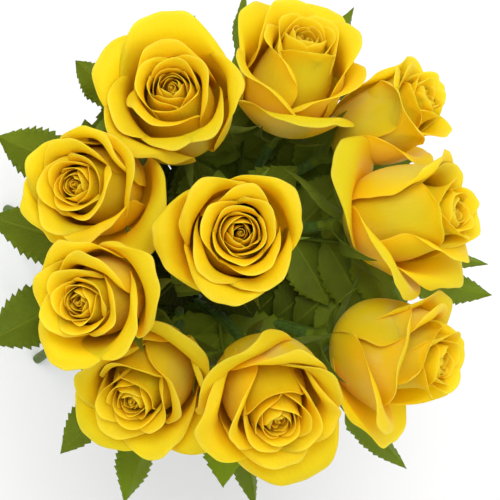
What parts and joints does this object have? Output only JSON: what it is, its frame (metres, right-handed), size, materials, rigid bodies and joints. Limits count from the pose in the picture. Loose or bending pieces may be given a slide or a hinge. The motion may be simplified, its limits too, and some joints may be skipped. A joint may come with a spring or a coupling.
{
  "type": "bunch of cut roses",
  "caption": "Hand-tied bunch of yellow cut roses with their leaves, its bare stems crossed in a spiral and bound with twine so that it stands on its cut ends.",
  "frame": {"origin": "centre of the bunch's outline, on the surface it stands on, at the cut ends of the stems", "axes": "+Z up along the bunch from the cut ends to the blooms; seen from above with +X to the right, +Y is up"},
  "size_m": [0.272, 0.2676, 0.4043],
  "materials": {
    "heart_petal": "matte velvety golden-yellow petal",
    "outer_petal": "matte velvety lemon-yellow petal",
    "sepal": "satin green sepal and hip",
    "stem": "smooth waxy green stem",
    "leaf": "satin dark green leaf",
    "twine": "rough natural twine"
  },
  "bodies": {
    "root": {"rose_01_stem": "stem", "rose_01_calyx": "sepal", "rose_01_outer_petals": "outer_petal", "rose_01_heart": "heart_petal", "rose_02_stem": "stem", "rose_02_calyx": "sepal", "rose_02_outer_petals": "outer_petal", "rose_02_heart": "heart_petal", "rose_03_stem": "stem", "rose_03_calyx": "sepal", "rose_03_outer_petals": "outer_petal", "rose_03_heart": "heart_petal", "rose_04_stem": "stem", "rose_04_calyx": "sepal", "rose_04_outer_petals": "outer_petal", "rose_04_heart": "heart_petal", "rose_05_stem": "stem", "rose_05_calyx": "sepal", "rose_05_outer_petals": "outer_petal", "rose_05_heart": "heart_petal", "rose_06_stem": "stem", "rose_06_calyx": "sepal", "rose_06_outer_petals": "outer_petal", "rose_06_heart": "heart_petal", "rose_07_stem": "stem", "rose_07_calyx": "sepal", "rose_07_outer_petals": "outer_petal", "rose_07_heart": "heart_petal", "rose_08_stem": "stem", "rose_08_calyx": "sepal", "rose_08_outer_petals": "outer_petal", "rose_08_heart": "heart_petal", "rose_09_stem": "stem", "rose_09_calyx": "sepal", "rose_09_outer_petals": "outer_petal", "rose_09_heart": "heart_petal", "rose_10_stem": "stem", "rose_10_calyx": "sepal", "rose_10_outer_petals": "outer_petal", "rose_10_heart": "heart_petal", "leaf_01": "leaf", "leaf_02": "leaf", "leaf_03": "leaf", "leaf_04": "leaf", "leaf_05": "leaf", "leaf_06": "leaf", "leaf_07": "leaf", "leaf_08": "leaf", "leaf_09": "leaf", "leaf_10": "leaf", "leaf_11": "leaf", "leaf_12": "leaf", "leaf_13": "leaf", "leaf_14": "leaf", "leaf_15": "leaf", "leaf_16": "leaf", "leaf_17": "leaf", "leaf_18": "leaf", "leaf_19": "leaf", "tie": "twine"}
  },
  "joints": []
}
